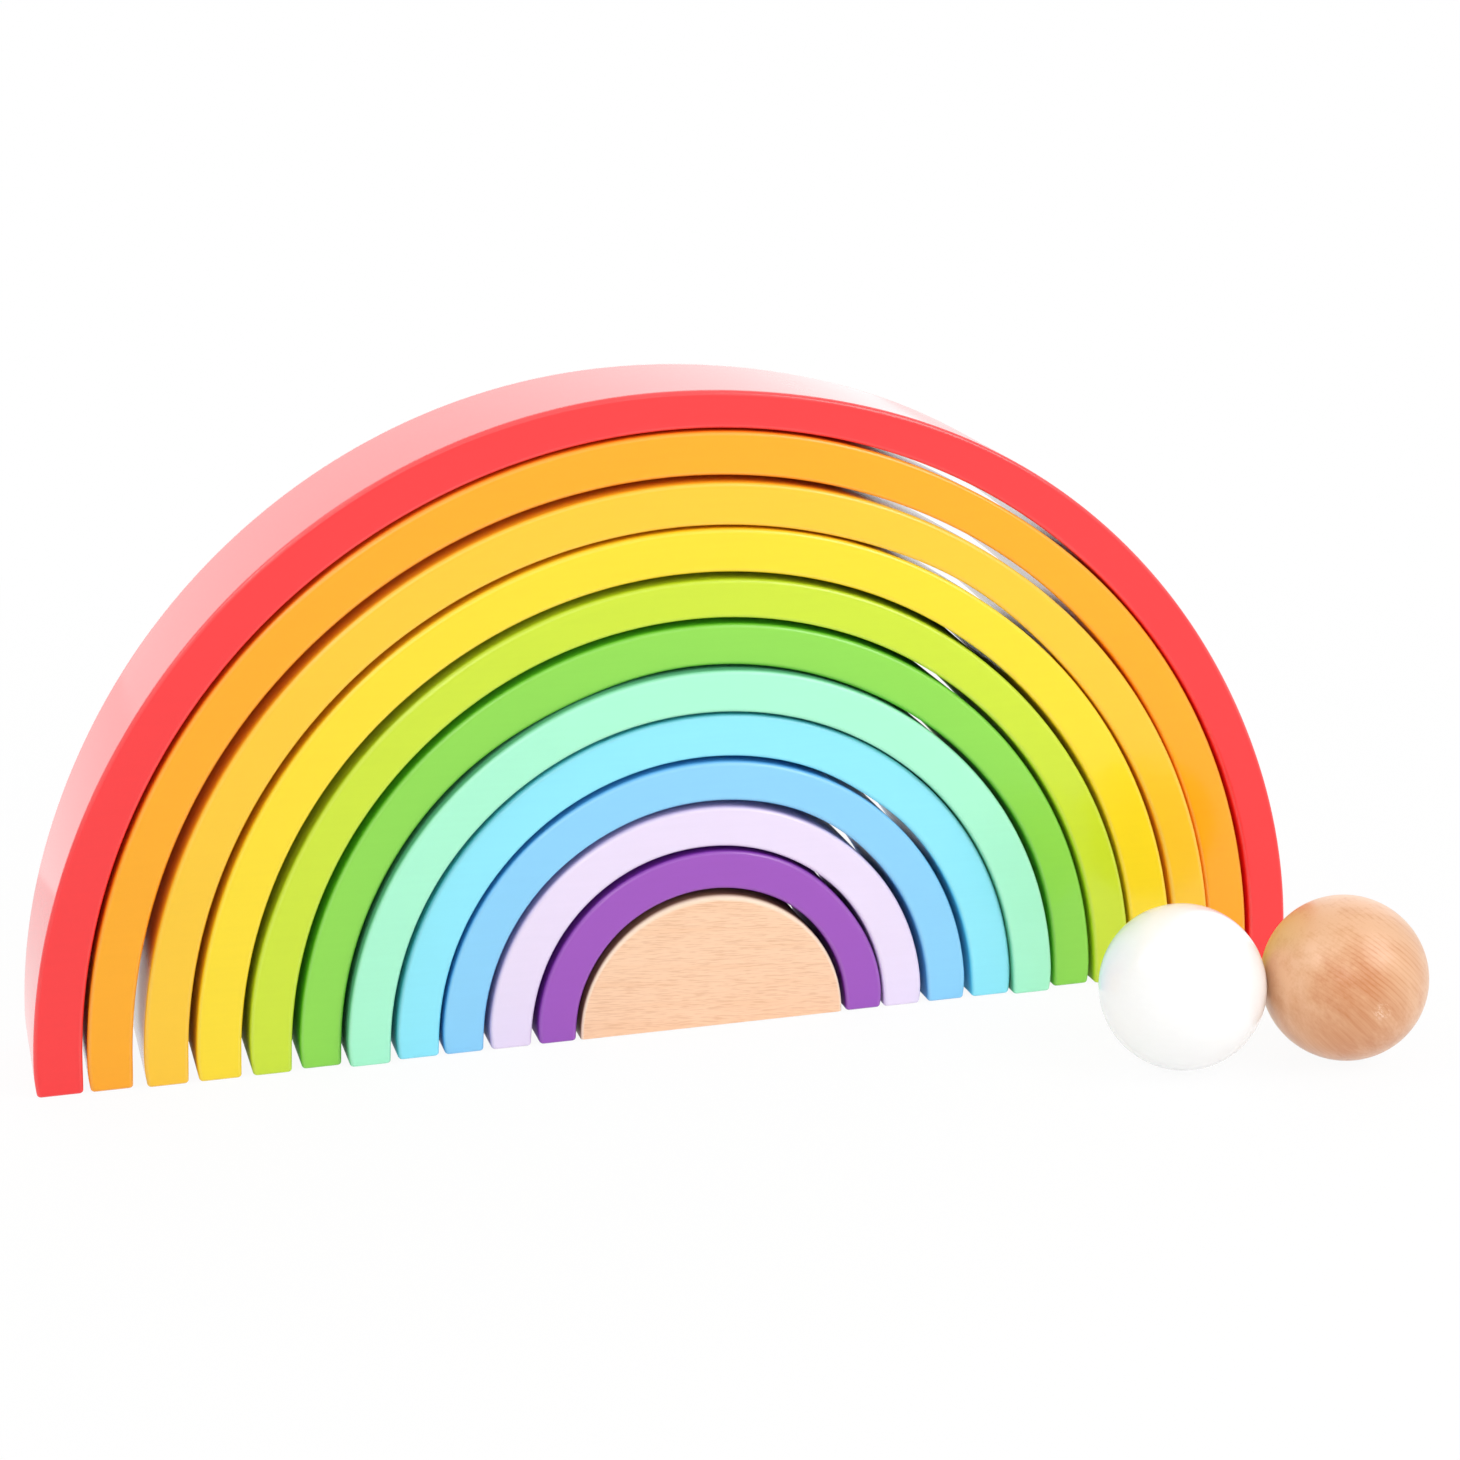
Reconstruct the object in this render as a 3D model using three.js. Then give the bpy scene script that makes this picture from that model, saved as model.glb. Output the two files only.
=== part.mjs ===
// Nested wooden rainbow: painted arches over a half-round beech block, with two turned balls in front.
// Millimetres, +Z up. The origin lies on the table under the middle of the block, +X runs to the
// right along the feet and +Y runs through the arches from front to back.

import * as THREE from "three";

// Half-round block in the middle, and the height of its centre above the table
const CORE_RADIUS = 38;
const CORE_RISE = 0.6;

// Board that the block and the arches are sawn from, front face to back face
const BOARD_DEPTH = 45;

// Rounding of the long edges, and how much rounder the corners of the feet are sanded
const EDGE_RADIUS = 1.2;
const FOOT_EASING = 0.4;

// Usual thickness of an arch, usual room between an arch and the piece inside it, and the step in
// which the saw strays from both
const ARCH_WALL = 11.4;
const ARCH_PLAY = 1.6;
const SAW_STEP = 0.1;

// Share of an arch's play that is used up where it is pushed over to one side
const FULL_LEAN = 0.8;

// How far an arch stands behind the common front, and how far the mint arch stands before it
const SET_BACK = 1;
const PROUD = 1.5;

// Balls
const BALL_DIAMETER = 45;
const BALL_STANDOFF = 39.4;
const BALL_GAP = 0.3;
const BALL_TURN = THREE.MathUtils.degToRad(-7.7);

// Fineness of the round faces
const CHORD_TOLERANCE = 0.2;
const CORNER_STEPS = 3;
const EDGE_STEPS = 2;
const BALL_STEPS = 28;

const PAINT_ROUGHNESS = 0.3;
const WOOD_ROUGHNESS = 0.6;

// The arches from the innermost to the outermost. They are sawn one by one, so no two have quite the
// same thickness. thicker is the number of saw steps by which an arch is thicker than usual, looser is
// the number of saw steps by which its play is wider than usual, lean is the share of the full lean by
// which it is set over to the right of the piece inside it, and back is its place behind the front.
const ARCHES = [
  { name: "purple_arch", colour: 0xa05cc2, thicker: -6, looser: -4, lean: 0, back: 0 },
  { name: "lilac_arch", colour: 0xeedcf8, thicker: -2, looser: -1, lean: -0.75, back: 0 },
  { name: "blue_arch", colour: 0x88c4f2, thicker: -2, looser: 3, lean: 0.1, back: 0 },
  { name: "sky_arch", colour: 0x86e4f6, thicker: 3, looser: 1, lean: 0.35, back: 0 },
  { name: "mint_arch", colour: 0xa8f4cf, thicker: 2, looser: -4, lean: -0.75, back: -PROUD },
  { name: "green_arch", colour: 0x8ed95a, thicker: -2, looser: -1, lean: 0, back: SET_BACK },
  { name: "lime_arch", colour: 0xcfe845, thicker: -9, looser: 3, lean: -0.35, back: 0 },
  { name: "yellow_arch", colour: 0xfee83c, thicker: 4, looser: 6, lean: -0.5, back: 0 },
  { name: "amber_arch", colour: 0xfecf45, thicker: 1, looser: -2, lean: -0.8, back: 0 },
  { name: "orange_arch", colour: 0xfdb034, thicker: 3, looser: 3, lean: -0.85, back: SET_BACK },
  { name: "red_arch", colour: 0xf84c4e, thicker: 0, looser: -7, lean: -0.7, back: SET_BACK },
];

const HALF_TURN = Math.PI;
const QUARTER_TURN = Math.PI / 2;

// Number of straight steps that keep a half circle of this radius within the chord tolerance
function halfCircleSteps(radius) {
  return Math.ceil(HALF_TURN / (2 * Math.acos(1 - CHORD_TOLERANCE / radius)));
}

// Points along an arc about (x, z), both ends included
function arc(x, z, radius, from, to, steps) {
  return Array.from({ length: steps + 1 }, (_, i) => {
    const angle = from + ((to - from) * i) / steps;
    return new THREE.Vector2(x + radius * Math.cos(angle), z + radius * Math.sin(angle));
  });
}

// A quarter-round corner about (x, z) that starts at the given angle
function corner(x, z, radius, from) {
  return arc(x, z, radius, from, from + QUARTER_TURN, CORNER_STEPS);
}

// An arc about (0, z) without its ends, which the feet's corners already hold
function span(z, radius, from, to, steps) {
  return arc(0, z, radius, from, to, steps).slice(1, -1);
}

// Outline of an arch seen from the front, anticlockwise from the right foot's outer corner.
// The inner polygon goes round its circle and the outer one lies inside its own, so that the
// straight steps never take up the play.
function archOutline(outer, inner, foot) {
  const innerSteps = halfCircleSteps(inner);
  const bore = inner / Math.cos(HALF_TURN / innerSteps / 2);
  return new THREE.Shape([
    ...corner(outer - foot, foot, foot, -QUARTER_TURN),
    ...span(foot, outer, 0, HALF_TURN, halfCircleSteps(outer)),
    ...corner(foot - outer, foot, foot, HALF_TURN),
    ...corner(-bore - foot, foot, foot, -QUARTER_TURN),
    ...span(foot, bore, HALF_TURN, 0, innerSteps),
    ...corner(bore + foot, foot, foot, HALF_TURN),
  ]);
}

// Outline of the half-round block seen from the front. Its round side starts where it stands as high
// as the corner of the foot.
function blockOutline(radius, rise, foot) {
  const start = Math.asin((foot - rise) / radius);
  const side = radius * Math.cos(start);
  return new THREE.Shape([
    ...corner(side - foot, foot, foot, -QUARTER_TURN),
    ...span(rise, radius, start, HALF_TURN - start, halfCircleSteps(radius)),
    ...corner(foot - side, foot, foot, HALF_TURN),
  ]);
}

// A board of the common depth with this outline, its front and back edges rounded over
function board(outline) {
  const plain = BOARD_DEPTH - 2 * EDGE_RADIUS;
  const geometry = new THREE.ExtrudeGeometry(outline, {
    depth: plain,
    bevelThickness: EDGE_RADIUS,
    bevelSize: EDGE_RADIUS,
    bevelOffset: -EDGE_RADIUS,
    bevelSegments: EDGE_STEPS,
  });
  return geometry.translate(0, 0, -plain / 2).rotateX(QUARTER_TURN);
}

function piece(name, geometry, colour, roughness) {
  const material = new THREE.MeshStandardMaterial({ color: colour, roughness, metalness: 0 });
  const mesh = new THREE.Mesh(geometry, material);
  mesh.name = name;
  return mesh;
}

function ball(name, colour, roughness) {
  const geometry = new THREE.SphereGeometry(BALL_DIAMETER / 2, BALL_STEPS, BALL_STEPS / 2);
  return piece(name, geometry.rotateX(QUARTER_TURN), colour, roughness);
}

const rainbow = new THREE.Group();

// Corner radius of every foot, which is also the height that the arches spring from
const foot = EDGE_RADIUS + FOOT_EASING;
const block = board(blockOutline(CORE_RADIUS, CORE_RISE, foot));
rainbow.add(piece("core_block", block, 0xf0c49c, WOOD_ROUGHNESS));

// Each arch stands over the piece before it with its own play, and leans by a share of that play
const placed = new Map();
let outer = CORE_RADIUS;
let across = 0;
for (const { name, colour, thicker, looser, lean, back } of ARCHES) {
  const wall = ARCH_WALL + thicker * SAW_STEP;
  const play = ARCH_PLAY + looser * SAW_STEP;
  const inner = outer + play;
  outer = inner + wall;
  across += lean * FULL_LEAN * play;
  const arch = piece(name, board(archOutline(outer, inner, foot)), colour, PAINT_ROUGHNESS);
  arch.position.set(across, back, 0);
  placed.set(name, { right: across + outer, bore: across + inner });
  rainbow.add(arch);
}

// The white ball stands before the gap between the right feet of the green and the lime arch, and
// the natural ball stands beside it, turned a little to the front
const gap = (placed.get("green_arch").right + placed.get("lime_arch").bore) / 2;
const whiteBall = ball("white_ball", 0xf8f8f6, PAINT_ROUGHNESS);
whiteBall.position.set(
  gap,
  -BOARD_DEPTH / 2 - BALL_STANDOFF - BALL_DIAMETER / 2,
  BALL_DIAMETER / 2,
);

const naturalBall = ball("natural_ball", 0xe6b689, WOOD_ROUGHNESS);
const spacing = BALL_DIAMETER + BALL_GAP;
const beside = new THREE.Vector3(spacing * Math.cos(BALL_TURN), spacing * Math.sin(BALL_TURN), 0);
naturalBall.position.copy(whiteBall.position).add(beside);
rainbow.add(whiteBall, naturalBall);

export default rainbow;
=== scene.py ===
# %% [markdown]
# # A nested wooden rainbow
# The toy is a half-round beech block with painted arches standing over it, each one a little wider
# than the last, and two turned balls in front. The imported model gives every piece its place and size.
# This lesson dresses it: each piece gets a smooth surface worked out with numpy and a finish made of
# nodes, and a plain white studio lights it.

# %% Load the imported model
import math

import bpy
import numpy as np
from mathutils import Matrix, Vector


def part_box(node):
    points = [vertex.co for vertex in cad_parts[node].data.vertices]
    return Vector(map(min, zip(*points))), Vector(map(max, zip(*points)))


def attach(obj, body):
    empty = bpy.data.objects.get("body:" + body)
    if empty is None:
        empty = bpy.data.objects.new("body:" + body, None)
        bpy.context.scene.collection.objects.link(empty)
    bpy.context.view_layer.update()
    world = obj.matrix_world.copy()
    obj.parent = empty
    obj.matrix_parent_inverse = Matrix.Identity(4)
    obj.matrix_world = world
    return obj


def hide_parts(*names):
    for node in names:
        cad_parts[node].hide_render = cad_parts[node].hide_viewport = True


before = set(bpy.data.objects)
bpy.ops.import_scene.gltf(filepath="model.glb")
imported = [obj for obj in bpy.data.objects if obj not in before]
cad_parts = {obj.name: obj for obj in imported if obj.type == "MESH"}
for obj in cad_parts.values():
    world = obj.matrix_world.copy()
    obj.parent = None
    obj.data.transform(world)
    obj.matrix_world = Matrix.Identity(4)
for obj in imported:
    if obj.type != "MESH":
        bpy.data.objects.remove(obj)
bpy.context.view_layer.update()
scene = bpy.context.scene
scene.view_settings.view_transform = "Standard"
MM = 0.001

# %% [markdown]
# ## Turning a grid of points into a mesh
# Every piece here is a surface given by two parameters: one runs round a closed ring and the other
# runs from ring to ring. The rings are joined by four-sided faces, and the first and last ring are
# closed by one flat face each. Writing the faces by index arithmetic on whole arrays keeps the code
# short, and the signed volume of the result tells whether the faces point outwards.


# %% Join rings into a closed mesh
def ring_faces(rings, count):
    """Four-sided faces between neighbouring rings: point j of ring i, the next point, and the same
    two points on ring i + 1, counted round the ring without end."""
    start = np.arange(rings - 1)[:, None] * count
    here = np.arange(count)[None, :]
    after = (here + 1) % count
    corners = (start + here, start + after, start + count + after, start + count + here)
    return np.stack(corners, axis=-1).reshape(-1, 4)


def enclosed_volume(points, quads):
    """A sixth of the sum of the triple products of each face's corners, which is positive when the
    faces point outwards."""
    a, b, c, d = (points[quads[:, k]] for k in range(4))
    triple = np.einsum("ij,ij->i", a, np.cross(b, c)) + np.einsum("ij,ij->i", a, np.cross(c, d))
    return triple.sum() / 6


def closed_mesh(name, rings, masks=None):
    """Makes an object from an array of shape (rings, points round a ring, 3), with a flat face over
    each end. masks holds named values for each point, which the materials read as attributes."""
    count = rings.shape[1]
    points = rings.reshape(-1, 3)
    quads = ring_faces(len(rings), count)
    first = np.arange(count)[::-1]
    last = np.arange(count) + len(points) - count
    if enclosed_volume(points - points.mean(axis=0), quads) < 0:
        quads, first, last = quads[:, ::-1], first[::-1], last[::-1]
    mesh = bpy.data.meshes.new(name)
    mesh.from_pydata(points.tolist(), [], [*quads.tolist(), first.tolist(), last.tolist()])
    smooth = np.ones(len(quads) + 2, dtype=bool)
    smooth[-2:] = False
    mesh.polygons.foreach_set("use_smooth", smooth)
    for label, values in (masks or {}).items():
        layer = mesh.attributes.new(label, "FLOAT", "POINT")
        spread = np.broadcast_to(values, rings.shape[:2])
        layer.data.foreach_set("value", spread.ravel().astype(np.float32))
    mesh.update()
    piece = bpy.data.objects.new(name, mesh)
    scene.collection.objects.link(piece)
    return piece


def stand_for(piece, node, body):
    """The piece hides its CAD node and moves with that node's body."""
    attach(piece, body)
    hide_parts(node)


print("faces between three rings of four points:", len(ring_faces(3, 4)))

# %% [markdown]
# ## The section of an arch
# On the real toy each arch is sawn from one board, sanded until its edges are soft, and painted. Its
# section is a rectangle with rounded corners, and that section is carried along a half circle from
# foot to foot. A bevelled box bent by a modifier would come close, but no two edges here waver alike,
# so the points are worked out. A rounded rectangle is a box corner plus a point on a small circle, and
# one formula gives all its points.

# %% Section of an arch
QUARTER = math.pi / 2
CORNER_STEPS = 7
SIDE_SHARES = np.array([0.02, 0.35, 0.65, 0.98])


def rounded_box_ring():
    """Turns of the small circle and places on the box for each point of a rounded rectangle. At a
    corner the circle turns a quarter and the box point stands still; along a side it is the other
    way round. The last value is 1 in the middle of a corner and 0 on the sides."""
    share = np.linspace(0, 1, CORNER_STEPS)
    still = np.ones(CORNER_STEPS)
    slide = 1 - 2 * SIDE_SHARES
    level = np.ones(len(SIDE_SHARES))
    quarter = QUARTER * share
    turn = np.concatenate([np.r_[k * QUARTER + quarter, level * (k + 1) * QUARTER] for k in range(4)])
    across = np.r_[still, slide, -still, -level, -still, -slide, still, level]
    along = np.r_[still, level, still, slide, -still, -level, -still, -slide]
    crest = np.tile(np.r_[np.sin(2 * quarter), 0 * level], 4)
    return turn, across, along, crest


print("points round a section:", len(rounded_box_ring()[0]))

# %% [markdown]
# ## Where saw and sandpaper wander
# Hand sanding never leaves a dead straight edge, so the rounding and the faces waver by a tenth of a
# millimetre or so, with a few slow waves along the arch. Here and there the saw has strayed from the
# circle by up to a millimetre and a half, or has leant over towards the back, which a bell curve of
# the angle gives: that is why some of the slits between the arches stand open to the light. A noise
# texture could push the surface about too, but waves and bells can be set where the toy shows them.

# %% Waves, strays and rubbed zones
WAVE_FREQUENCIES = np.array([2.3, 5.1, 9.7])
WAVE_PHASES = np.array([0.0, 1.7, 4.1])
WAVE_WEIGHTS = np.array([0.5, 0.3, 0.2])
SEED_PHASE = 2.4
ZONE_POWER = 8


def slow_waves(angle, seed):
    """A weighted sum of sine waves along the arch, with a phase of their own for each seed."""
    phases = SEED_PHASE * seed + WAVE_PHASES
    waves = np.sin(angle[:, None] * WAVE_FREQUENCIES + phases)
    return (waves * WAVE_WEIGHTS).sum(axis=1)[:, None]


def stray(angle, bells):
    """A sum of bell curves of the angle along the arch. Each has its middle and its width in degrees
    and its height in millimetres."""
    middle, width, height = np.array(bells, dtype=float).reshape(-1, 3).T
    away = (np.degrees(angle)[:, None] - middle) / width
    return MM * (height * np.exp(-(away**2))).sum(axis=1)[:, None]


def burnish(angle, zones):
    """The share of rubbing along the arch: a zone's strength within its width of its middle, in
    degrees, with a quick fall to 0 on either side."""
    middle, width, strength = np.array(zones, dtype=float).reshape(-1, 3).T
    away = (np.degrees(angle)[:, None] - middle) / width
    return (strength * np.exp(-(away**ZONE_POWER))).sum(axis=1)[:, None]


print("waves along an arch:", len(WAVE_WEIGHTS))

# %% [markdown]
# ## Carrying the section from foot to foot
# Near the floor the section draws in along a quarter round, which is the eased edge of the foot, and
# over the last few millimetres both sides are sanded off at a slight taper. Values kept on each point
# tell the finish where the edges and the two sawn sides are. The sides are dull, and shade is painted
# on them, deeper and darker in colour, for the shade in the narrow gaps between the arches. Where
# neighbouring arches have rubbed a side smooth it is glossier and has less of that painted shade, and
# the outside of the red arch, which has no neighbour, is as smooth as a face and has none.

# %% Shape of an arch
PAINT_BUILD = 0.12 * MM
ARRIS_RADIUS = 1.2 * MM
SOLE_RADIUS = 0.8 * MM
SOLE_MARGIN = 0.8 * MM
FACE_WAVER = 0.08 * MM
ARRIS_WAVER = 0.14
SIDE_SEED = 0.5
FRONT_SEED = 0.8
TAPER_HEIGHT = 8 * MM
OUTER_TAPER = 0.6 * MM
INNER_TAPER = 0.2 * MM
ARC_STEPS = 300
SAWN_POWER = 4


def inner_radius(solid, centre_x, spring):
    """The least distance from an arch's axis to the middle of an edge of its CAD mesh. The inner
    polygon goes round its circle, so the middles of its sides lie on that circle."""
    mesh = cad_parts[solid].data
    points = np.empty(3 * len(mesh.vertices))
    mesh.vertices.foreach_get("co", points)
    ends = np.empty(2 * len(mesh.edges), dtype=int)
    mesh.edges.foreach_get("vertices", ends)
    middles = points.reshape(-1, 3)[ends.reshape(-1, 2)].mean(axis=1)
    above = middles[middles[:, 2] > spring]
    return np.hypot(above[:, 0] - centre_x, above[:, 2] - spring).min()


def arch_surface(solid, seed, has_neighbour, outer_bells, inner_bells, back_bells, rubbed_zones):
    """A rounded rectangle carried along a half circle. The middle of the wall runs at a constant
    radius about the centre; each point is that radius plus its own place across the wall, turned by
    the angle along the arch, with its place along the depth as it is. At the feet the angle stands
    still while the height falls to the floor and the section draws in by a quarter round, and both
    sides draw in by the square of the height left below the taper. Bell curves of the angle move the
    outer and the inner side away from their circles, and the outer side a little more towards the
    back. The masks are 1 on the edges and on the sawn sides, which are dull and carry the painted
    shade of the gaps, less where a side is burnished, and an arch without a neighbour outside it has
    no sawn outer side."""
    low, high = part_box(solid)
    outer = (high.x - low.x) / 2
    centre_x, centre_y = (low.x + high.x) / 2, (low.y + high.y) / 2
    spring = high.z - outer
    half_wall = (outer - inner_radius(solid, centre_x, spring)) / 2
    middle = outer - half_wall
    bend = np.linspace(0, QUARTER, CORNER_STEPS)
    foot_height = np.r_[0, SOLE_RADIUS * (1 - np.cos(bend))]
    foot_inset = np.r_[SOLE_RADIUS + SOLE_MARGIN, SOLE_RADIUS * (1 - np.sin(bend))]
    foot_crest = np.r_[0, np.sin(2 * bend)]
    sweep = np.linspace(0, math.pi, ARC_STEPS + 1)
    angle = np.r_[0 * foot_height, sweep, 0 * foot_height + math.pi]
    drop = np.r_[foot_height - spring, 0 * sweep, foot_height[::-1] - spring]
    inset = np.r_[foot_inset, 0 * sweep, foot_inset[::-1]][:, None]
    row_crest = np.r_[foot_crest, 0 * sweep, foot_crest[::-1]][:, None]

    turn, across, along, crest = rounded_box_ring()
    rounding = ARRIS_RADIUS * (1 + ARRIS_WAVER * slow_waves(angle, seed))
    radius = rounding - inset.clip(0, SOLE_RADIUS)
    wall = half_wall + PAINT_BUILD - inset - radius
    depth = (high.y - low.y) / 2 - inset - radius
    side_wave = FACE_WAVER * slow_waves(angle, seed + SIDE_SEED)
    front_wave = FACE_WAVER * slow_waves(angle, seed + FRONT_SEED)
    reach = across * wall + np.cos(turn) * radius + side_wave
    height = spring + drop + middle * np.sin(angle)
    taper = (1 - height / TAPER_HEIGHT).clip(0)[:, None] ** 2
    reach += (stray(angle, outer_bells) - OUTER_TAPER * taper) * (1 + across) / 2
    reach += (stray(angle, inner_bells) + INNER_TAPER * taper) * (1 - across) / 2
    reach += stray(angle, back_bells) * (1 + across) / 2 * (1 + along) / 2
    y = along * depth + np.sin(turn) * radius + front_wave
    x = centre_x + (middle + reach) * np.cos(angle)[:, None]
    z = spring + (middle + reach) * np.sin(angle)[:, None] + drop[:, None]
    # The sawn mask also marks where shade is painted onto the sides, for the shade in the gaps between
    # the arches; burnished zones get less of it.
    facing = np.cos(turn) if has_neighbour else (-np.cos(turn)).clip(0)
    sawn_and_gap_shade = facing**SAWN_POWER * (1 - burnish(angle, rubbed_zones))
    masks = {"arris": np.maximum(crest, row_crest), "sawn_and_gap_shade": sawn_and_gap_shade}
    return np.stack([x, centre_y + y, z], axis=-1), masks


print("rows along an arch:", ARC_STEPS + 1 + 2 * (CORNER_STEPS + 1))

# %% [markdown]
# ## The eleven arches
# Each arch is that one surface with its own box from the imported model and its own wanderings. The
# tables name only the arches that show one. A row holds its middle and its width in degrees, counted
# from the right foot over the crown, and then the stray in millimetres or the share of rubbing.

# %% Place the arches
ARCHES = ["purple", "lilac", "blue", "sky", "mint", "green", "lime", "yellow", "amber", "orange", "red"]
OUTER_BELLS = {
    "purple": [(38, 20, -0.8)],
    "lime": [(170, 12, 0.9), (38, 16, -0.3)],
    "yellow": [(56, 12, -0.3)],
    "amber": [(55, 20, -0.45)],
    "orange": [(61, 14, -0.6)],
    "red": [(180, 20, 1.2), (83, 20, -1.6), (8, 14, 0.7)],
}
INNER_BELLS = {
    "lilac": [(165, 25, -0.6)],
    "blue": [(62, 22, 0.4)],
    "sky": [(54, 10, -0.5)],
    "green": [(113, 14, -0.8), (22, 16, 0.8), (65, 16, -0.5)],
    "amber": [(58, 10, 0.8), (15, 18, 1.1)],
    "orange": [(50, 16, 0.2)],
    "red": [(8, 22, 1.0)],
}
BACK_BELLS = {
    "lime": [(48, 20, 1.4)],
    "yellow": [(56, 12, -0.7)],
    "amber": [(55, 18, -0.9)],
    "orange": [(61, 16, -0.9)],
}
# Rubbed zones are glossier and carry less of the painted gap shade.
RUBBED_ZONES = {
    "lilac": [(50, 10, 0.5)],
    "blue": [(50, 16, 0.7)],
    "sky": [(48, 18, 0.7)],
    "mint": [(56, 8, 0.6)],
    "yellow": [(56, 12, 1.0)],
    "amber": [(57, 16, 1.0), (178, 11, 1.0)],
    "orange": [(57, 16, 1.0), (178, 11, 1.0)],
    "red": [(60, 13, 1.0)],
}
pieces = {}
for number, colour in enumerate(ARCHES):
    solid = colour + "_arch"
    tables = (OUTER_BELLS, INNER_BELLS, BACK_BELLS, RUBBED_ZONES)
    uneven = [table.get(colour, []) for table in tables]
    rings, masks = arch_surface(solid, number, colour != ARCHES[-1], *uneven)
    pieces[colour] = closed_mesh(solid + "_sanded", rings, masks)
    stand_for(pieces[colour], solid, colour)
print("arches:", len(pieces), "with", sum(len(p.data.polygons) for p in pieces.values()), "faces")

# %% [markdown]
# ## The half-round block
# The block in the middle is the piece left when the smallest arch is sawn out: a half disc of bare
# beech. Its rings are the outline seen from the front, drawn in a little near the front and back
# faces, which rounds the edges over. The rounding is widest at the crown, where it catches a broad
# pale line of light, and the two corners at the floor are left crisp. Half a cylinder with a Bevel
# modifier would be quicker, but its rounding would be equally wide everywhere.

# %% Shape of the block
CROWN_RIM = 1.8 * MM
FLOOR_RIM = 0.9 * MM
BLOCK_CORNER = 0.35 * MM
CRISP = 0.05 * MM
FLOOR_EASING = 0.2 * MM
FACE_MARGIN = 0.6 * MM
RIM_STEPS = 160
SIDE_SHADE_POWER = 8


def block_surface(low, high):
    """The outline of a half disc, drawn in by an inset that follows a quarter round at the front and
    at the back. The quarter round is widest at the crown and narrows to the floor with the square of
    the sine of the angle. Each ring is the half circle less the inset, a small round at each floor
    corner and the straight underside, which rises by the inset only as far as a slight easing."""
    radius = (high.x - low.x) / 2
    centre_x = (low.x + high.x) / 2
    spring = high.z - radius
    bend = np.linspace(0, QUARTER, CORNER_STEPS)
    turn = np.linspace(-QUARTER, 0, CORNER_STEPS)
    sweep = np.linspace(0, math.pi, RIM_STEPS + 1)
    rim = np.r_[0 * turn, np.sin(sweep) ** 2, 0 * turn] * (CROWN_RIM - FLOOR_RIM) + FLOOR_RIM
    front = np.r_[0, 1 - np.cos(bend)][:, None] * rim
    front_inset = np.r_[1, 1 - np.sin(bend)][:, None] * rim
    front_inset[0] += FACE_MARGIN
    y = np.concatenate([low.y + front, (high.y - front)[::-1]])
    inset = np.concatenate([front_inset, front_inset[::-1]])
    crest = np.r_[0, np.sin(2 * bend)]

    foot_inset, rim_inset = inset[:, :CORNER_STEPS], inset[:, CORNER_STEPS:-CORNER_STEPS]
    small = (BLOCK_CORNER - foot_inset).clip(CRISP)
    right_x = radius - foot_inset - small * (1 - np.cos(turn))
    right_z = foot_inset.clip(0, FLOOR_EASING) + small * (1 + np.sin(turn))
    rim_x = (radius - rim_inset) * np.cos(sweep)
    rim_z = spring + (radius - rim_inset) * np.sin(sweep)
    x = np.concatenate([right_x, rim_x, -right_x[:, ::-1]], axis=1) + centre_x
    z = np.concatenate([right_z, rim_z, right_z[:, ::-1]], axis=1)
    # Painted shade: a mask on the round side, away from the front and back edges, where it lies in the
    # gap under the smallest arch.
    side = np.r_[0, np.sin(bend) ** SIDE_SHADE_POWER]
    masks = {
        "arris": np.r_[crest, crest[::-1]][:, None],
        "side shade": np.r_[side, side[::-1]][:, None],
    }
    return np.stack([x, y, z], axis=-1), masks


rings, masks = block_surface(*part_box("core_block"))
pieces["core"] = closed_mesh("core_block_sanded", rings, masks)
stand_for(pieces["core"], "core_block", "core")
print("block faces:", len(pieces["core"].data.polygons))

# %% [markdown]
# ## The balls
# The balls are turned on a lathe, so they are spheres. A sphere is two angles: one from pole to pole
# and one round. The poles are closed by the flat end faces of the ring mesh, a fraction of a
# millimetre across. The plain ball has a small scuff, where the surface is dented and pale, a darker
# patch of heartwood, painted shade that darkens its lower front, and growth rings that show on its
# upper half. All four are bell curves of the angle to a direction, kept as attributes, with the
# heartwood and the painted shade in one. Blender's own UV sphere has the same points, but here the
# directions are at hand as an array.

# %% Shape of a ball
BALL_ROWS = 96
BALL_COLUMNS = 144
POLE = math.radians(0.6)
SCUFF_TOWARDS = (0.0, -1.02, -0.06)
SCUFF_WIDTH = math.radians(5)
SCUFF_DEPTH = 0.08 * MM
HEART_TOWARDS = (-0.34, -0.885, 0.29)
HEART_WIDTH = math.radians(22)
HEART_SHARE = 0.75
# Painted shade on the lower front of the plain ball, kept with the heartwood.
SHADE_TOWARDS = (-0.3, -0.75, -0.5)
SHADE_WIDTH = math.radians(46)
SHADE_SHARE = 0.85
RINGED_TOWARDS = (0.1, -0.75, 0.6)
RINGED_WIDTH = math.radians(48)


def bell(direction, towards, width):
    """A bell curve of the angle between each direction and one given direction."""
    away = np.arccos((direction @ np.array(Vector(towards).normalized())).clip(-1, 1))
    return np.exp(-((away / width) ** 2))


def ball_surface(low, high):
    """A sphere from two angles: the centre plus the radius times a direction."""
    radius = (high.x - low.x) / 2
    centre = np.array((low + high) / 2)
    polar = np.linspace(math.pi - POLE, POLE, BALL_ROWS)[:, None]
    round_angle = np.linspace(0, 2 * math.pi, BALL_COLUMNS, endpoint=False)[None, :]
    across = np.sin(polar)
    up = np.broadcast_to(np.cos(polar), (BALL_ROWS, BALL_COLUMNS))
    direction = np.stack([across * np.cos(round_angle), across * np.sin(round_angle), up], axis=-1)
    return centre + direction * radius, direction


rings, _ = ball_surface(*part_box("white_ball"))
pieces["white_ball"] = closed_mesh("white_ball_turned", rings)
stand_for(pieces["white_ball"], "white_ball", "white_ball")

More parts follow.
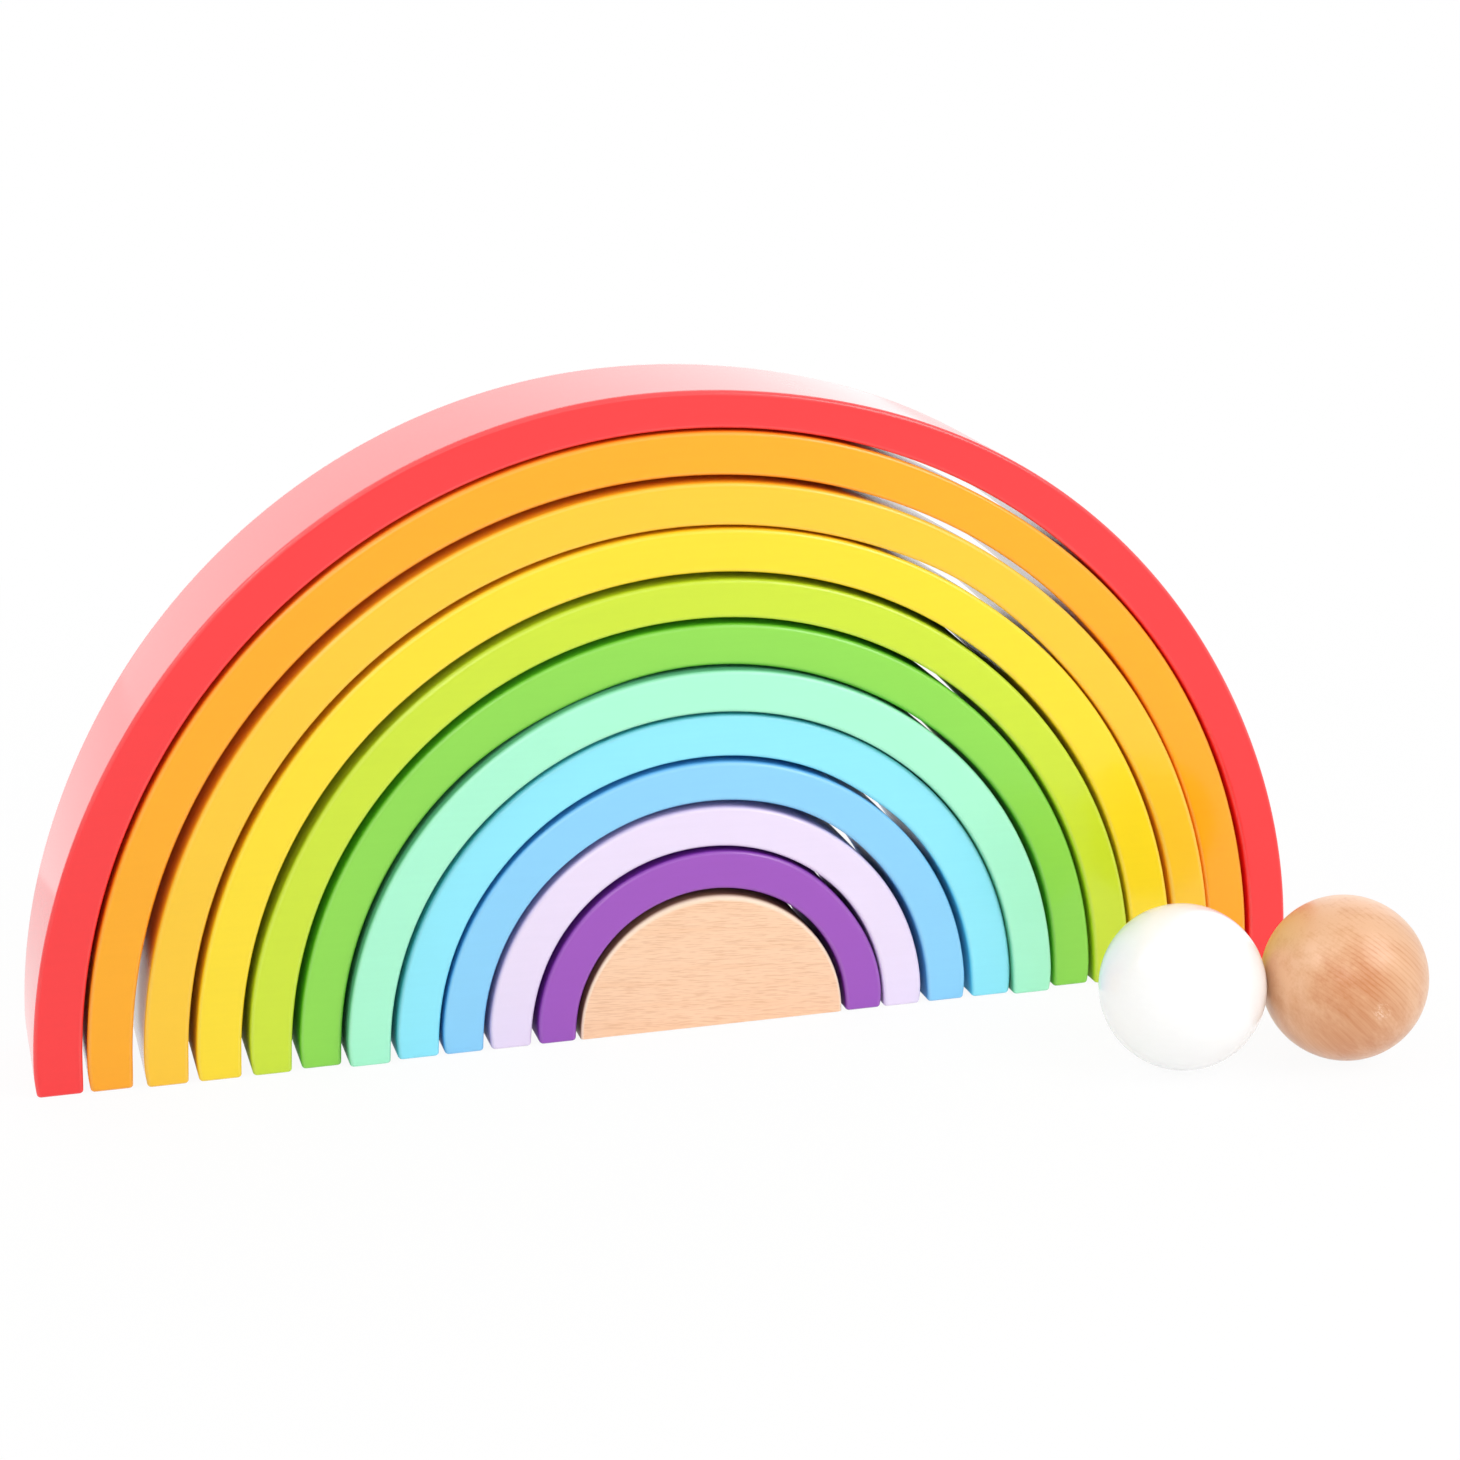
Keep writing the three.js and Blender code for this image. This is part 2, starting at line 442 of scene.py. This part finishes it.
rings, direction = ball_surface(*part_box("natural_ball"))
scuff = bell(direction, SCUFF_TOWARDS, SCUFF_WIDTH)
heartwood_and_shade = HEART_SHARE * bell(direction, HEART_TOWARDS, HEART_WIDTH)
# The heartwood attribute also carries painted shade on the lower front.
heartwood_and_shade += SHADE_SHARE * bell(direction, SHADE_TOWARDS, SHADE_WIDTH)
ringed = bell(direction, RINGED_TOWARDS, RINGED_WIDTH)
rings -= direction * SCUFF_DEPTH * scuff[..., None]
marks = {"scuff": scuff, "heartwood_and_shade": heartwood_and_shade, "ringed": ringed}
pieces["natural_ball"] = closed_mesh("natural_ball_turned", rings, marks)
stand_for(pieces["natural_ball"], "natural_ball", "natural_ball")
print("ball faces:", len(pieces["natural_ball"].data.polygons))

# %% [markdown]
# ## Node helpers
# Materials are built from nodes in code. Short helpers keep that readable: one adds a node with its
# settings and socket values, a few stand for the nodes that come back again and again, and one makes
# a node group with named sockets, which is how an effect that several finishes share is built once
# and placed many times.

# %% Helpers for nodes
COLOUR, VALUE, VECTOR = "NodeSocketColor", "NodeSocketFloat", "NodeSocketVector"
NOISE_SPAN = (0.3, 0.7)


def node(tree, kind, sockets=None, **settings):
    """Adds a node, sets its properties, and sets or links its input sockets by name or number."""
    made = tree.nodes.new(kind)
    for key, value in settings.items():
        setattr(made, key, value)
    for key, value in (sockets or {}).items():
        if isinstance(value, bpy.types.NodeSocket):
            tree.links.new(value, made.inputs[key])
        else:
            made.inputs[key].default_value = value
    return made


def object_place(tree):
    """Each point's place in the frame that all pieces share."""
    return node(tree, "ShaderNodeTexCoord").outputs["Object"]


def kept_value(tree, name):
    """The value that the mesh keeps on each point under this name."""
    return node(tree, "ShaderNodeAttribute", attribute_name=name).outputs["Fac"]


def noise(tree, vector, frequency, detail=2.0, roughness=0.5):
    """Soft random values between 0 and 1, with so many waves per metre along each axis. Most of them
    lie in the noise span."""
    scaled = node(tree, "ShaderNodeMapping", {"Vector": vector, "Scale": frequency})
    sockets = {"Vector": scaled.outputs[0], "Scale": 1.0, "Detail": detail, "Roughness": roughness}
    return node(tree, "ShaderNodeTexNoise", sockets).outputs[0]


def remap(tree, value, from_low, from_high, to_low, to_high):
    """Stretches a value from one range to another and holds it at the ends."""
    sockets = {0: value, 1: from_low, 2: from_high, 3: to_low, 4: to_high}
    return node(tree, "ShaderNodeMapRange", sockets).outputs[0]


def calculate(tree, operation, a, b):
    """One step of arithmetic on two values."""
    return node(tree, "ShaderNodeMath", {0: a, 1: b}, operation=operation).outputs[0]


def vectors(tree, operation, *given):
    """One step of arithmetic on vectors. Its outputs are a vector and a value."""
    sockets = dict(enumerate(given))
    return node(tree, "ShaderNodeVectorMath", sockets, operation=operation).outputs


def blend(tree, factor, a, b, mode="MIX"):
    """Mixes two colours by a factor."""
    sockets = {0: factor, 6: a, 7: b}
    mixed = node(tree, "ShaderNodeMix", sockets, data_type="RGBA", blend_type=mode)
    return mixed.outputs[2]


def effect_group(name, inputs, outputs):
    """A node group with named sockets, and its input and output nodes."""
    tree = bpy.data.node_groups.new(name, "ShaderNodeTree")
    for label, kind in inputs.items():
        tree.interface.new_socket(name=label, in_out="INPUT", socket_type=kind)
    for label, kind in outputs.items():
        tree.interface.new_socket(name=label, in_out="OUTPUT", socket_type=kind)
    return tree, tree.nodes.new("NodeGroupInput"), tree.nodes.new("NodeGroupOutput")


def linear(red, green, blue):
    """A colour given in everyday 0 to 255 steps, as the linear values that shaders use: a straight
    line near black and a power of 2.4 above it, which is how screens code brightness."""
    share = np.array([red, green, blue]) / 255
    light = np.where(share <= 0.04045, share / 12.92, ((share + 0.055) / 1.055) ** 2.4)
    return (*light.tolist(), 1.0)


print("node helpers ready")

# %% [markdown]
# ## Paint on wood
# The arches are sprayed with a satin lacquer thin enough that the grain of the board shows through as
# the faintest streaks. On the edges the colour is a little paler, which is partly thinner paint and
# partly a painted highlight. The sawn sides are dull, and shade is painted on them: they are deeper in
# colour, and on a few arches darker too, for the shade in the narrow gaps between the arches. A group
# gives the colour, the gloss and the height of that film. The grain runs along the board, which is
# along X, so its noise is stretched that way; a fine even noise is the orange peel of the spray. A
# painted picture could do this too, but it would have to be unwrapped onto every piece.

# %% Group for the paint film
STREAK = (30.0, 420.0, 700.0)
MOTTLE = (22.0, 22.0, 22.0)
PEEL = (900.0, 900.0, 900.0)
PEEL_SHARE = 0.5
THIN_AND_HIGHLIGHT_SHARE = (0.1, 0.4)
GLOSS = (0.08, 0.14)
SAWN_ROUGHNESS = 0.6
# The power that deepens the colour of the sawn sides, as painted gap shade.
PAINTED_GAP_DEPTH = 1.7


def paint_film_group():
    """The colour times one plus a small share of streaks and mottle. On the edges it is mixed with the
    edge colour, partly thin paint and partly a painted highlight, and on the sawn sides it is raised to
    a power and darkened, which is painted shade for the gaps between the arches. The height is the
    streaks plus a share of the peel."""
    tree, given, result = effect_group(
        "paint film",
        {"Colour": COLOUR, "Edge Colour": COLOUR, "Streaks": VALUE, "Painted Gap Shade": VALUE},
        {"Colour": COLOUR, "Roughness": VALUE, "Height": VALUE},
    )
    place = object_place(tree)
    streak = noise(tree, place, STREAK, detail=4.0, roughness=0.6)
    mottle = noise(tree, place, MOTTLE)
    peel = noise(tree, place, PEEL, detail=1.0)
    streaked = remap(tree, streak, *NOISE_SPAN, -1.0, 1.0)
    mottled = remap(tree, mottle, *NOISE_SPAN, -1.0, 1.0)
    change = calculate(tree, "ADD", streaked, mottled)
    change = calculate(tree, "MULTIPLY", change, given.outputs["Streaks"])
    gain = calculate(tree, "ADD", change, 1.0)
    toned = blend(tree, 1.0, given.outputs["Colour"], gain, "MULTIPLY")
    arris = kept_value(tree, "arris")
    # The edges are mixed towards the paler colour: partly thin paint, partly a painted highlight.
    thin_and_highlight = calculate(tree, "MULTIPLY", arris, remap(tree, mottle, *NOISE_SPAN, *THIN_AND_HIGHLIGHT_SHARE))
    sawn_and_gap_shade = kept_value(tree, "sawn_and_gap_shade")
    edged = blend(tree, thin_and_highlight, toned, given.outputs["Edge Colour"])
    # Painted shade: the sawn sides are deepened by a power and darkened, for the shade in the gaps
    # between the arches.
    depth = remap(tree, sawn_and_gap_shade, 0.0, 1.0, 1.0, PAINTED_GAP_DEPTH)
    deep = node(tree, "ShaderNodeGamma", {"Color": edged, "Gamma": depth}).outputs[0]
    shade = remap(tree, sawn_and_gap_shade, 0.0, 1.0, 1.0, given.outputs["Painted Gap Shade"])
    shaded = blend(tree, 1.0, deep, shade, "MULTIPLY")
    tree.links.new(shaded, result.inputs["Colour"])
    gloss = remap(tree, mottle, *NOISE_SPAN, *GLOSS)
    dull = node(tree, "ShaderNodeMix", {0: sawn_and_gap_shade, 2: gloss, 3: SAWN_ROUGHNESS}).outputs[0]
    tree.links.new(dull, result.inputs["Roughness"])
    height = calculate(tree, "ADD", streak, calculate(tree, "MULTIPLY", peel, PEEL_SHARE))
    tree.links.new(height, result.inputs["Height"])
    return tree


paint_film = paint_film_group()
print("group:", paint_film.name, "with", len(paint_film.nodes), "nodes")

# %% [markdown]
# ## Painted finishes
# Each colour is one material: the film group feeds a Principled shader. The shader is glossy, because
# the lacquer mirrors its surroundings at a glancing angle: that is what turns the top of the red arch
# pale and lights up the slits between the arches.

# %% Paint materials
PAINTS = {
    "purple": (157, 80, 190),
    "lilac": (235, 221, 247),
    "blue": (139, 209, 250),
    "sky": (143, 233, 252),
    "mint": (169, 246, 210),
    "green": (143, 219, 76),
    "lime": (206, 229, 48),
    "yellow": (252, 222, 36),
    "amber": (252, 202, 44),
    "orange": (253, 173, 12),
    "red": (250, 53, 56),
    "white": (248, 248, 248),
}
# Painted shade on the sawn sides: how dark each colour's gaps are made, 1 for the other colours.
PAINTED_GAP_SHADES = {"lilac": 0.85, "blue": 0.75, "mint": 0.5}
# How far the edge colour goes towards white: partly thin paint, partly a painted highlight.
EDGE_PALE_AND_HIGHLIGHT = 0.15
STREAK_DEPTH = 0.008
PAINT_BUMP = 0.03 * MM
PAINT_RELIEF = 0.3


def paint_material(name, colour):
    """The paint film in one colour, with a paler edge that is partly a painted highlight, and its own
    painted gap shade on the sawn sides.
    """
    material = bpy.data.materials.new("paint " + name)
    material.use_nodes = True
    tree = material.node_tree
    shader = tree.nodes["Principled BSDF"]
    paler = tuple(c + (1 - c) * EDGE_PALE_AND_HIGHLIGHT for c in colour)
    film = node(tree, "ShaderNodeGroup", node_tree=paint_film)
    film.inputs["Colour"].default_value = colour
    film.inputs["Edge Colour"].default_value = paler
    film.inputs["Streaks"].default_value = STREAK_DEPTH
    film.inputs["Painted Gap Shade"].default_value = PAINTED_GAP_SHADES.get(name, 1.0)
    relief = {"Strength": PAINT_RELIEF, "Distance": PAINT_BUMP, "Height": film.outputs["Height"]}
    bump = node(tree, "ShaderNodeBump", relief)
    tree.links.new(film.outputs["Colour"], shader.inputs["Base Color"])
    tree.links.new(film.outputs["Roughness"], shader.inputs["Roughness"])
    tree.links.new(bump.outputs[0], shader.inputs["Normal"])
    return material


for colour in ARCHES:
    pieces[colour].data.materials.append(paint_material(colour, linear(*PAINTS[colour])))
pieces["white_ball"].data.materials.append(paint_material("white", linear(*PAINTS["white"])))
print("paints:", len(PAINTS))

# %% [markdown]
# ## Bare beech
# Beech is pale and pinkish, with faint growth rings, fine fibres and the short dark flecks of its
# rays, a millimetre or three long and as thin as a hair. One group makes all three from a place whose
# X axis lies along the grain and whose Z axis counts the growth rings, so each piece only has to say
# how its wood lay in the tree. A picture of a board would show a seam at every edge; this grain runs
# through the solid.

# %% Group for the grain
FIBRE = (40.0, 1500.0, 1500.0)
FLECK = (250.0, 4200.0, 4200.0)
CLOUD = (25.0, 260.0, 260.0)
RING_WAVER = {"Distortion": 6.0, "Detail": 2.0, "Detail Scale": 0.12}
RING_SHARPNESS = 4.0
RING_PATCHES = (0.5, 1.0)
PATCH_SPAN = (0.35, 0.65)
FLECK_SPAN = (0.48, 0.68)
FLECK_PIT = 0.5
FIBRE_TONE = (-0.12, 0.12)
CLOUD_TONE = (-0.5, 0.5)
WOOD_ROUGHNESS = (0.36, 0.48)


def beech_group():
    """The tone between pale and dark is the sum of the growth rings, which stand out in patches, the
    fibres, the clouds and the heartwood input, which on the ball also holds painted shade. The flecks
    are mixed in on top. The height is the fibres less a share of the flecks, which are slight pits."""
    tree, given, result = effect_group(
        "beech grain",
        {
            "Vector": VECTOR,
            "Pale": COLOUR,
            "Dark": COLOUR,
            "Fleck": COLOUR,
            "Fleck Depth": VALUE,
            "Rings": VALUE,
            "Ring Depth": VALUE,
            "Streak Depth": VALUE,
            "Heartwood and Shade": VALUE,
        },
        {"Colour": COLOUR, "Roughness": VALUE, "Height": VALUE},
    )
    place = given.outputs["Vector"]
    wave = {"Vector": place, "Scale": given.outputs["Rings"], **RING_WAVER}
    rings = node(tree, "ShaderNodeTexWave", wave, bands_direction="Z").outputs["Fac"]
    sharp = calculate(tree, "POWER", rings, RING_SHARPNESS)
    fibre = noise(tree, place, FIBRE, detail=3.0, roughness=0.6)
    cloud = noise(tree, place, CLOUD, detail=3.0)
    fleck = remap(tree, noise(tree, place, FLECK, detail=1.0), *FLECK_SPAN, 0.0, 1.0)
    patches = remap(tree, cloud, *PATCH_SPAN, *RING_PATCHES)
    patchy = calculate(tree, "MULTIPLY", given.outputs["Ring Depth"], patches)
    ringed = calculate(tree, "MULTIPLY", sharp, patchy)
    tone = calculate(tree, "ADD", ringed, remap(tree, fibre, *NOISE_SPAN, *FIBRE_TONE))
    clouds = remap(tree, cloud, *NOISE_SPAN, *CLOUD_TONE)
    cloudy = calculate(tree, "MULTIPLY", clouds, given.outputs["Streak Depth"])
    tone = calculate(tree, "ADD", tone, cloudy)
    tone = calculate(tree, "ADD", tone, given.outputs["Heartwood and Shade"])
    wood = blend(tree, tone, given.outputs["Pale"], given.outputs["Dark"])
    depth = calculate(tree, "MULTIPLY", fleck, given.outputs["Fleck Depth"])
    tree.links.new(blend(tree, depth, wood, given.outputs["Fleck"]), result.inputs["Colour"])
    tree.links.new(remap(tree, fibre, *NOISE_SPAN, *WOOD_ROUGHNESS), result.inputs["Roughness"])
    height = calculate(tree, "SUBTRACT", fibre, calculate(tree, "MULTIPLY", fleck, FLECK_PIT))
    tree.links.new(height, result.inputs["Height"])
    return tree


beech_grain = beech_group()
print("group:", beech_grain.name, "with", len(beech_grain.nodes), "nodes")

# %% [markdown]
# ## The block's and the ball's wood
# The block is sanded and left bare. Its grain lies along the board, tilted by a few degrees with a
# Mapping node. Its rim is mixed towards a pale cream, which is partly sanded wood and partly a painted
# highlight, and painted shade darkens its round side, which lies in the gap under the smallest arch.
# The ball is polished, so it has a low sheen. Its growth rings are circles about the pith of the tree,
# a line outside the ball, and they are cut across, so they show as fine curved lines about a
# millimetre apart. The heartwood comes from an attribute stored on its mesh that also holds painted
# shade on its lower front, the scuff from another, and a fine noise breaks the scuff up into
# scratches.

# %% Beech materials
WOOD_BUMP = 0.04 * MM
WOOD_RELIEF = 0.4
BLOCK_GRAIN = {
    "Pale": linear(250, 208, 174),
    "Dark": linear(242, 190, 148),
    "Fleck": linear(222, 166, 126),
    "Fleck Depth": 0.5,
    "Rings": 60.0,
    "Ring Depth": 0.2,
    "Streak Depth": 0.4,
}
BALL_GRAIN = {
    "Pale": linear(227, 177, 136),
    "Dark": linear(197, 121, 64),
    "Fleck": linear(196, 132, 88),
    "Fleck Depth": 0.08,
    "Rings": 260.0,
    "Streak Depth": 0.45,
}
BLOCK_TILT = math.radians(-4)
PITH_AWAY = 0.09
PITH_SIDE = Vector((0.7, 0.0, 0.714))
ACROSS_PITH = (1.0, 0.0, 1.0)
HEARTWOOD_AND_SHADE_DEPTH = 0.75
RING_DEPTH = 0.42
SCUFF_COLOUR = linear(250, 222, 196)
SCUFF_STRENGTH = 0.9
SCRATCH = (500.0, 1500.0, 1500.0)
SCRATCH_SPAN = (0.5, 0.6)
POLISH = 0.55
POLISH_ROUGHNESS = 0.3
# The rim's paler colour: partly sanded wood, partly a painted highlight.
PALE_RIM_AND_HIGHLIGHT = linear(255, 238, 218)
PALE_RIM_SHARE = 0.7
# Painted shade on the block's round side, which lies in the gap under the smallest arch.
SIDE_SHADE_COLOUR = linear(120, 72, 44)
SIDE_SHADE_SHARE = 0.8


def beech_material(name, grain_values):
    """Wood with the grain group's inputs given by name. The group and the shader are returned too,
    so that each piece can feed its own place into the one and its marked colour into the other."""
    material = bpy.data.materials.new(name)
    material.use_nodes = True
    tree = material.node_tree
    shader = tree.nodes["Principled BSDF"]
    grain = node(tree, "ShaderNodeGroup", node_tree=beech_grain)
    for label, value in grain_values.items():
        grain.inputs[label].default_value = value
    relief = {"Strength": WOOD_RELIEF, "Distance": WOOD_BUMP, "Height": grain.outputs["Height"]}
    bump = node(tree, "ShaderNodeBump", relief)
    tree.links.new(grain.outputs["Roughness"], shader.inputs["Roughness"])
    tree.links.new(bump.outputs[0], shader.inputs["Normal"])
    return material, tree, grain, shader


def block_beech():
    """The grain lies along the block, tilted by a few degrees. The rim is paler, partly sanded wood and
    partly a painted highlight, and the round side is darkened by painted shade.
    """
    material, tree, grain, shader = beech_material("beech block", BLOCK_GRAIN)
    place = object_place(tree)
    turned = node(tree, "ShaderNodeMapping", {"Vector": place, "Rotation": (0.0, BLOCK_TILT, 0.0)})
    tree.links.new(turned.outputs[0], grain.inputs["Vector"])
    # Partly a painted highlight: the rim is mixed towards pale cream.
    arris = kept_value(tree, "arris")
    pale = calculate(tree, "MULTIPLY", arris, PALE_RIM_SHARE)
    edged = blend(tree, pale, grain.outputs["Colour"], PALE_RIM_AND_HIGHLIGHT)
    # Painted shade darkens the round side.
    side = kept_value(tree, "side shade")
    dark = calculate(tree, "MULTIPLY", side, SIDE_SHADE_SHARE)
    tree.links.new(blend(tree, dark, edged, SIDE_SHADE_COLOUR), shader.inputs["Base Color"])
    return material


def ball_beech():
    """The rings are circles about a pith line that lies outside the ball and runs along Y, so their
    place is the distance from that line, and the grain follows them round."""
    material, tree, grain, shader = beech_material("beech ball", BALL_GRAIN)
    low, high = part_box("natural_ball")
    pith = (low + high) / 2 - PITH_AWAY * PITH_SIDE
    place = object_place(tree)
    away = vectors(tree, "SUBTRACT", place, pith)["Vector"]
    flat = vectors(tree, "MULTIPLY", away, ACROSS_PITH)["Vector"]
    ring = vectors(tree, "LENGTH", flat)["Value"]
    round_ring = (PITH_SIDE.z, 0.0, -PITH_SIDE.x)
    along = vectors(tree, "DOT_PRODUCT", away, round_ring)["Value"]
    depth = node(tree, "ShaderNodeSeparateXYZ", {0: away}).outputs["Y"]
    grown = node(tree, "ShaderNodeCombineXYZ", {0: along, 1: depth, 2: ring})
    tree.links.new(grown.outputs[0], grain.inputs["Vector"])
    # Heartwood and painted shade on the lower front, from one attribute.
    heartwood_and_shade = kept_value(tree, "heartwood_and_shade")
    tree.links.new(calculate(tree, "MULTIPLY", heartwood_and_shade, HEARTWOOD_AND_SHADE_DEPTH), grain.inputs["Heartwood and Shade"])
    ringed = kept_value(tree, "ringed")
    tree.links.new(calculate(tree, "MULTIPLY", ringed, RING_DEPTH), grain.inputs["Ring Depth"])
    scuff = kept_value(tree, "scuff")
    broken = noise(tree, grown.outputs[0], SCRATCH, detail=3.0, roughness=0.7)
    scratch = remap(tree, broken, *SCRATCH_SPAN, 0.0, SCUFF_STRENGTH)
    worn = calculate(tree, "MULTIPLY", scuff, scratch)
    scuffed = blend(tree, worn, grain.outputs["Colour"], SCUFF_COLOUR)
    tree.links.new(scuffed, shader.inputs["Base Color"])
    shader.inputs["Coat Weight"].default_value = POLISH
    shader.inputs["Coat Roughness"].default_value = POLISH_ROUGHNESS
    return material


pieces["core"].data.materials.append(block_beech())
pieces["natural_ball"].data.materials.append(ball_beech())
print("beech on:", pieces["core"].name, pieces["natural_ball"].name)

# %% [markdown]
# ## Studio
# The toy stands on a white table under soft light. The floor is plain white and mostly reads as paper
# white to the camera, so that only a faint shadow is left on it. The sky is white to the camera and
# in reflections, and gives gentle light from all round. Both are done with the Light Path node, so
# the white of the background adds no light to the toy.

# %% Floor and sky
FLOOR_HALF = 6.0
FLOOR_DROP = 0.1 * MM
FLOOR_WHITE = (0.91, 0.91, 0.91, 1.0)
FLOOR_ROUGHNESS = 0.7
SHADOW_REACH = (0.2, 0.6)
PAPER_SHARE = (0.94, 1.0)
PAPER_WHITE = (1.0, 1.0, 1.0, 1.0)
AMBIENT = 0.6


def seen_directly(tree):
    """1 for a ray that comes from the camera, a mirror or glass, and 0 for one that gathers light."""
    path = node(tree, "ShaderNodeLightPath").outputs
    seen = calculate(tree, "ADD", path["Is Camera Ray"], path["Is Glossy Ray"])
    return remap(tree, calculate(tree, "ADD", seen, path["Is Transmission Ray"]), 0.0, 1.0, 0.0, 1.0)


def white_floor():
    """A white plane under the toy. What is seen directly is mostly paper white, and the more so the
    farther it lies from the toy, so that the shadow fades out."""
    corners = np.array([(-1, -1, 0), (1, -1, 0), (1, 1, 0), (-1, 1, 0)], dtype=float) * FLOOR_HALF
    mesh = bpy.data.meshes.new("floor")
    mesh.from_pydata((corners - (0, 0, FLOOR_DROP)).tolist(), [], [(0, 1, 2, 3)])
    floor = bpy.data.objects.new("floor", mesh)
    scene.collection.objects.link(floor)
    material = bpy.data.materials.new("white table")
    material.use_nodes = True
    tree = material.node_tree
    shader = tree.nodes["Principled BSDF"]
    shader.inputs["Base Color"].default_value = FLOOR_WHITE
    shader.inputs["Roughness"].default_value = FLOOR_ROUGHNESS
    paper = node(tree, "ShaderNodeEmission", {"Color": PAPER_WHITE, "Strength": 1.0})
    place = object_place(tree)
    away = vectors(tree, "LENGTH", place)["Value"]
    paper_share = remap(tree, away, *SHADOW_REACH, *PAPER_SHARE)
    share = calculate(tree, "MULTIPLY", seen_directly(tree), paper_share)
    mixed = node(tree, "ShaderNodeMixShader", {0: share, 1: shader.outputs[0], 2: paper.outputs[0]})
    tree.links.new(mixed.outputs[0], tree.nodes["Material Output"].inputs["Surface"])
    mesh.materials.append(material)


def white_sky():
    """A sky that is white where it is seen directly and gives only the ambient light elsewhere."""
    world = bpy.data.worlds.new("white studio")
    world.use_nodes = True
    tree = world.node_tree
    strength = remap(tree, seen_directly(tree), 0.0, 1.0, AMBIENT, 1.0)
    background = tree.nodes["Background"]
    background.inputs["Color"].default_value = PAPER_WHITE
    tree.links.new(strength, background.inputs["Strength"])
    scene.world = world


white_floor()
white_sky()
print("floor and sky are white")

# %% [markdown]
# ## Softboxes
# A photographer would hang panels of cloth before the lamps; area lamps do the same. A wide panel
# behind the toy is what the lacquer mirrors at a glancing angle, and a low one on the floor carries
# that sheen down the left leg of the red arch. The key stands in front, to the right and above, and
# lights the faces. A weak one in front and one at the left fill the shadows, and a small bright one
# at the left draws the thin pale lines along the edges. The last two light the right end of the
# arches and the balls: the first of them has a grid, so that its narrow beam passes the rest.

# %% Softboxes
def softbox(name, place, target, width, height, brightness, spread=math.pi):
    """A rectangular lamp that faces a target. Its power is brightness times pi times its area. A
    spread of less than half a turn is the grid that narrows its beam."""
    lamp = bpy.data.lights.new(name, "AREA")
    lamp.shape = "RECTANGLE"
    lamp.size, lamp.size_y = width, height
    lamp.energy = brightness * math.pi * width * height
    lamp.spread = spread
    box = bpy.data.objects.new(name, lamp)
    box.location = place
    box.rotation_euler = (Vector(target) - Vector(place)).to_track_quat("-Z", "Y").to_euler()
    box.visible_camera = False
    scene.collection.objects.link(box)


ARCH_MIDDLE = (0.0, 0.0, 0.08)
GRID_SPREAD = math.radians(44)
softbox("back panel", (0.3, 1.6, 0.85), ARCH_MIDDLE, 3.6, 1.8, 0.55)
softbox("low panel", (-0.39, 0.2, 0.05), (-0.39, 0.0, 0.05), 0.4, 0.1, 0.27)
softbox("left softbox", (-0.85, -0.1, 0.95), ARCH_MIDDLE, 0.7, 0.7, 1.8)
softbox("front softbox", (0.0, -1.7, 0.7), ARCH_MIDDLE, 1.4, 0.9, 0.55)
softbox("key softbox", (0.6, -0.6, 0.7), ARCH_MIDDLE, 0.55, 0.55, 3.5)
softbox("edge softbox", (-0.8, -0.47, 0.85), ARCH_MIDDLE, 0.25, 0.25, 5.0)
softbox("grid softbox", (-0.25, -0.8, 0.45), (0.19, -0.02, 0.11), 0.25, 0.25, 0.3, GRID_SPREAD)
softbox("right softbox", (0.46, -0.42, 0.48), (0.25, -0.15, 0.0), 0.3, 0.3, 0.5)

# %% [markdown]
# ## Camera
# The camera looks a little to the right and down on the toy from its left side, through a lens of
# about 75 mm, as in the product photograph.

# %% Camera
CAMERA_PLACE = Vector((-0.2067, -0.7864, 0.3225))
CAMERA_YAW = math.radians(15.515)
CAMERA_PITCH = math.radians(16.59)
CAMERA_ROLL = math.radians(-0.302)
PHOTO_WIDTH_PX = 1460
FOCAL_PX = 3026.7
SENSOR_WIDTH_MM = 36.0

lens = bpy.data.cameras.new("camera")
lens.sensor_width = SENSOR_WIDTH_MM
lens.lens = SENSOR_WIDTH_MM * FOCAL_PX / PHOTO_WIDTH_PX
camera = bpy.data.objects.new("camera", lens)
look = Matrix.Rotation(-CAMERA_YAW, 4, "Z") @ Matrix.Rotation(QUARTER - CAMERA_PITCH, 4, "X")
camera.matrix_world = Matrix.Translation(CAMERA_PLACE) @ look @ Matrix.Rotation(CAMERA_ROLL, 4, "Z")
scene.collection.objects.link(camera)
scene.camera = camera
print("lens:", round(lens.lens, 2), "mm")
